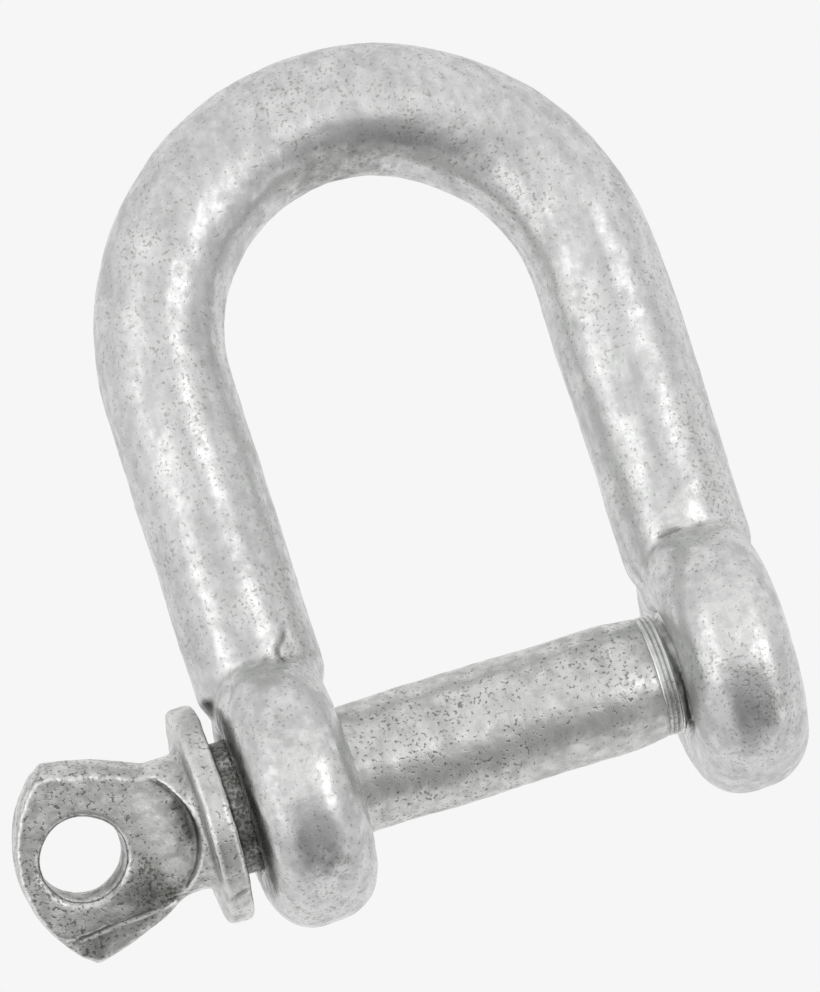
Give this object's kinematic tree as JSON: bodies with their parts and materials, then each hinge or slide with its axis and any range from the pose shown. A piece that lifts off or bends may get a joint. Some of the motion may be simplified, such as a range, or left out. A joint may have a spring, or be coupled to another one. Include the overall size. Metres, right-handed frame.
{
  "type": "screw pin shackle",
  "caption": "Forged, galvanised D-shaped shackle with a collared screw pin whose flattened head has an eye.",
  "frame": {"origin": "on the pin's axis, half way between the two eyes", "axes": "+X along the pin from its head to its thread, +Y from the pin to the crown, +Z out of the bow's plane"},
  "size_m": [0.0628, 0.0658, 0.022],
  "materials": {
    "bow_zinc": "hot-dip galvanised forged steel, satin grey with fine pits",
    "pin_zinc": "galvanised forged steel, dull mid grey"
  },
  "bodies": {
    "bow": {"bow": "bow_zinc"},
    "pin_core": {"pin_core": "pin_zinc"},
    "screw_pin": {"screw_pin": "pin_zinc"}
  },
  "joints": [
    {"name": "pin_draw", "type": "slide", "parent": "bow", "child": "pin_core", "axis": [-1, 0, 0], "range_m": [-0.0011, 0.048]},
    {"name": "pin_turn", "type": "hinge", "parent": "pin_core", "child": "screw_pin", "pos_m": [0, 0, 0], "axis": [-1, 0, 0], "range_deg": [-264.5, 11521]}
  ],
  "couplings": [
    {"joint": "pin_turn", "follows": "pin_draw", "rad_per_m": 4188.8}
  ]
}
